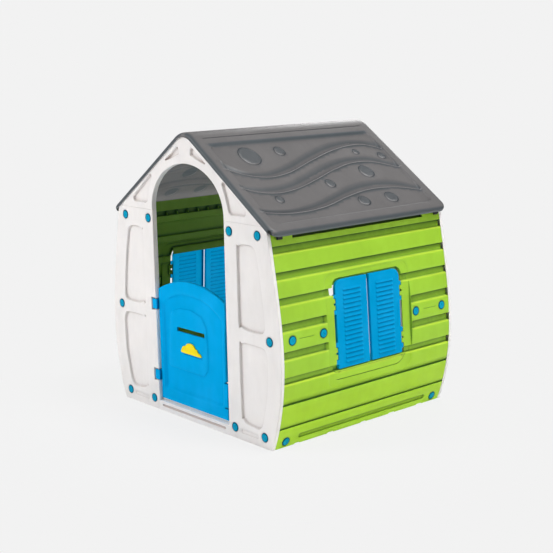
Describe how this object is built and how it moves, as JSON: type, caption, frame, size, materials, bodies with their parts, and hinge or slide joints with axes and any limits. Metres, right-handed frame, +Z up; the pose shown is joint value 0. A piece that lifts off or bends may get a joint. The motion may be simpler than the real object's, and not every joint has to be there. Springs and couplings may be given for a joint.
{
  "type": "playhouse",
  "caption": "Child-size plastic playhouse with curved plank walls, arched gables, ribbed pitched roof, swinging half door and louvred window shutters.",
  "frame": {"origin": "on the ground under the centre of the house", "axes": "+Z up, front gable with the door faces -Y, +X to the right when looking at +Y"},
  "size_m": [1.02, 0.9, 1.09],
  "materials": {
    "white_plastic": "fine satin mould texture, off-white",
    "green_plastic": "satin lime green mouldings",
    "grey_plastic": "fine mould texture, slate grey",
    "blue_plastic": "satin sky blue",
    "bolt_plastic": "smooth blue fastener plastic",
    "yellow_plastic": "smooth yellow"
  },
  "bodies": {
    "house": {"gable_arch_front": "white_plastic", "gable_arch_back": "white_plastic", "post_front_right": "white_plastic", "post_front_left": "white_plastic", "post_back_left": "white_plastic", "post_back_right": "white_plastic", "door_sill_front": "white_plastic", "door_sill_back": "white_plastic", "side_wall_right": "green_plastic", "side_wall_left": "green_plastic", "roof_panel_right": "grey_plastic", "roof_panel_left": "grey_plastic", "bolt_front_left_top_inner": "bolt_plastic", "bolt_front_left_top_outer": "bolt_plastic", "bolt_front_left_middle": "bolt_plastic", "bolt_front_left_foot_inner": "bolt_plastic", "bolt_front_left_foot_outer": "bolt_plastic", "bolt_front_right_top_inner": "bolt_plastic", "bolt_front_right_top_outer": "bolt_plastic", "bolt_front_right_middle": "bolt_plastic", "bolt_front_right_foot_inner": "bolt_plastic", "bolt_front_right_foot_outer": "bolt_plastic", "bolt_back_left_top_inner": "bolt_plastic", "bolt_back_left_top_outer": "bolt_plastic", "bolt_back_left_middle": "bolt_plastic", "bolt_back_left_foot_inner": "bolt_plastic", "bolt_back_left_foot_outer": "bolt_plastic", "bolt_back_right_top_inner": "bolt_plastic", "bolt_back_right_top_outer": "bolt_plastic", "bolt_back_right_middle": "bolt_plastic", "bolt_back_right_foot_inner": "bolt_plastic", "bolt_back_right_foot_outer": "bolt_plastic", "bolt_side_left_front_middle_outer": "bolt_plastic", "bolt_side_left_front_middle_inner": "bolt_plastic", "bolt_side_left_front_foot": "bolt_plastic", "bolt_side_left_back_middle_outer": "bolt_plastic", "bolt_side_left_back_middle_inner": "bolt_plastic", "bolt_side_left_back_foot": "bolt_plastic", "bolt_side_right_front_middle_outer": "bolt_plastic", "bolt_side_right_front_middle_inner": "bolt_plastic", "bolt_side_right_front_foot": "bolt_plastic", "bolt_side_right_back_middle_outer": "bolt_plastic", "bolt_side_right_back_middle_inner": "bolt_plastic", "bolt_side_right_back_foot": "bolt_plastic"},
    "door": {"door_panel": "blue_plastic", "door_cloud_plaque": "yellow_plastic"},
    "shutter_right_front": {"shutter_right_front": "blue_plastic"},
    "shutter_right_back": {"shutter_right_back": "blue_plastic"},
    "shutter_left_front": {"shutter_left_front": "blue_plastic"},
    "shutter_left_back": {"shutter_left_back": "blue_plastic"}
  },
  "joints": [
    {"name": "door_swing", "type": "hinge", "parent": "house", "child": "door", "pos_m": [-0.2275, -0.4345, 0.28], "axis": [0, 0, 1], "range_deg": [-120, 90]},
    {"name": "shutter_right_front_swing", "type": "hinge", "parent": "house", "child": "shutter_right_front", "pos_m": [0.49226, -0.171, 0.41121], "axis": [0.0637, 0, -0.998], "range_deg": [0, 95]},
    {"name": "shutter_right_back_swing", "type": "hinge", "parent": "house", "child": "shutter_right_back", "pos_m": [0.49226, 0.171, 0.41121], "axis": [-0.0637, 0, 0.998], "range_deg": [0, 95]},
    {"name": "shutter_left_front_swing", "type": "hinge", "parent": "house", "child": "shutter_left_front", "pos_m": [-0.49226, -0.171, 0.41121], "axis": [0.0637, 0, 0.998], "range_deg": [0, 95]},
    {"name": "shutter_left_back_swing", "type": "hinge", "parent": "house", "child": "shutter_left_back", "pos_m": [-0.49226, 0.171, 0.41121], "axis": [-0.0637, 0, -0.998], "range_deg": [0, 95]}
  ]
}
